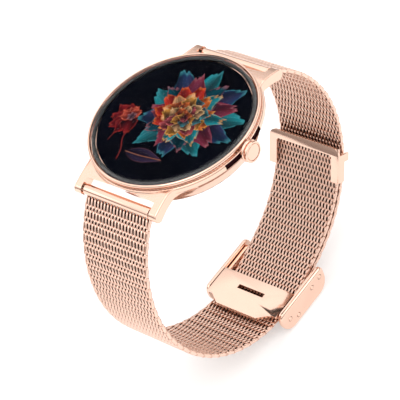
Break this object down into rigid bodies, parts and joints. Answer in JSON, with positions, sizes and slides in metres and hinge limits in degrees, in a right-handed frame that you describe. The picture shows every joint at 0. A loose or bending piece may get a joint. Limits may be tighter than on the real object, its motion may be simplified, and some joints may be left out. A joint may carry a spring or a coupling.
{
  "type": "smartwatch",
  "caption": "Round smartwatch with a glass display, a push crown and a woven steel mesh band closed by an adjustable fold-over clasp.",
  "frame": {"origin": "on the flat outer face of the clasp, straight below the middle of the display", "axes": "+Z out of the display, +Y towards 12 o'clock, +X towards 3 o'clock and the crown"},
  "size_m": [0.0447, 0.0722, 0.0696],
  "materials": {
    "rose_gold": "polished rose-gold coated steel",
    "band_mesh": "rose-gold coated woven wire",
    "steel": "satin stainless steel",
    "cover_glass": "polished toughened glass with a rounded edge",
    "display": "dark display panel with a flower picture",
    "dark_inlay": "dark brown gloss",
    "inner_plastic": "matte moulded",
    "back_plastic": "fine satin moulded",
    "sensor_glass": "dark polished window",
    "seal_rubber": "matte rubber",
    "contact_gold": "gold plated",
    "circuit_board": "solder mask",
    "battery_pouch": "foil pouch"
  },
  "bodies": {
    "case": {"case_frame": "rose_gold", "bezel_ring": "rose_gold", "knurled_ring": "rose_gold", "cover_glass": "cover_glass", "glass_gasket": "seal_rubber", "display_panel": "display", "display_carrier": "inner_plastic", "crown_side_inlay_12": "dark_inlay", "crown_side_inlay_6": "dark_inlay", "crown_tube": "steel", "back_cover": "back_plastic", "back_gasket": "seal_rubber", "sensor_ring": "rose_gold", "sensor_window": "sensor_glass", "back_screw_1": "steel", "back_screw_2": "steel", "back_screw_3": "steel", "back_screw_4": "steel", "charging_contact_1": "contact_gold", "charging_contact_2": "contact_gold", "main_board": "circuit_board", "shield_can": "steel", "battery": "battery_pouch", "vibration_motor": "steel", "speaker": "inner_plastic", "microphone": "steel", "optical_sensor": "inner_plastic", "crown_switch": "steel"},
    "crown_stem": {"crown_stem": "steel", "crown_seal": "seal_rubber"},
    "crown": {"crown_knob": "rose_gold", "crown_cap": "rose_gold"},
    "band_12_upper": {"strap_end_12": "rose_gold", "spring_bar_12": "steel", "bar_tip_12": "steel", "mesh_12_upper": "band_mesh"},
    "band_12_lower": {"mesh_12_lower": "band_mesh", "band_end_bar": "rose_gold"},
    "release_12": {"quick_release_12": "steel"},
    "band_6_upper": {"strap_end_6": "rose_gold", "spring_bar_6": "steel", "bar_tip_6": "steel", "mesh_6_upper": "band_mesh"},
    "band_6_lower": {"mesh_6_lower": "band_mesh", "mesh_tail": "band_mesh", "tail_frame": "rose_gold", "clasp_body": "rose_gold", "lock_pivot_left": "rose_gold", "lock_pivot_right": "rose_gold", "guide_rivet_left": "rose_gold", "guide_rivet_right": "rose_gold", "web_rivet_left": "rose_gold", "web_rivet_right": "rose_gold", "cover_pivot_left": "rose_gold", "cover_pivot_right": "rose_gold"},
    "release_6": {"quick_release_6": "steel"},
    "lock_plate": {"lock_plate": "rose_gold"},
    "clasp_cover": {"clasp_cover": "rose_gold"}
  },
  "joints": [
    {"name": "band_open", "type": "hinge", "parent": "case", "child": "band_12_upper", "pos_m": [0, 0.0229, 0.0645], "axis": [1, 0, 0], "range_deg": [0, 35]},
    {"name": "band_12_flex", "type": "hinge", "parent": "band_12_upper", "child": "band_12_lower", "pos_m": [0, 0.03709, 0.0366], "axis": [1, 0, 0], "range_deg": [0, 28]},
    {"name": "band_6_swing", "type": "hinge", "parent": "case", "child": "band_6_upper", "pos_m": [0, -0.0229, 0.0645], "axis": [-1, 0, 0], "range_deg": [0, 35]},
    {"name": "band_6_flex", "type": "hinge", "parent": "band_6_upper", "child": "band_6_lower", "pos_m": [0, -0.03387, 0.0366], "axis": [-1, 0, 0], "range_deg": [0, 28]},
    {"name": "crown_press", "type": "slide", "parent": "case", "child": "crown_stem", "axis": [-1, 0, 0], "range_m": [0, 0.0003], "stiffness_N_per_m": 2000, "springref_m": -0.0003},
    {"name": "crown_spin", "type": "hinge", "parent": "crown_stem", "child": "crown", "pos_m": [0.022, 0, 0.0663], "axis": [1, 0, 0], "continuous": true},
    {"name": "lock_plate_open", "type": "hinge", "parent": "band_6_lower", "child": "lock_plate", "pos_m": [0, 0.0106, 0.0049], "axis": [-1, 0, 0], "range_deg": [0, 75]},
    {"name": "clasp_cover_open", "type": "hinge", "parent": "band_6_lower", "child": "clasp_cover", "pos_m": [0, -0.0026, 0.0036], "axis": [-1, 0, 0], "range_deg": [0, 78]},
    {"name": "quick_release_12_pull", "type": "slide", "parent": "band_12_upper", "child": "release_12", "axis": [1, 0, 0], "range_m": [0, 0.0013], "stiffness_N_per_m": 600, "springref_m": -0.001},
    {"name": "quick_release_6_pull", "type": "slide", "parent": "band_6_upper", "child": "release_6", "axis": [-1, 0, 0], "range_m": [0, 0.0013], "stiffness_N_per_m": 600, "springref_m": -0.001}
  ],
  "couplings": [
    {"joint": "band_12_flex", "follows": "band_open", "ratio": 0.8},
    {"joint": "band_6_swing", "follows": "band_open", "ratio": 1},
    {"joint": "band_6_flex", "follows": "band_open", "ratio": 0.8}
  ]
}
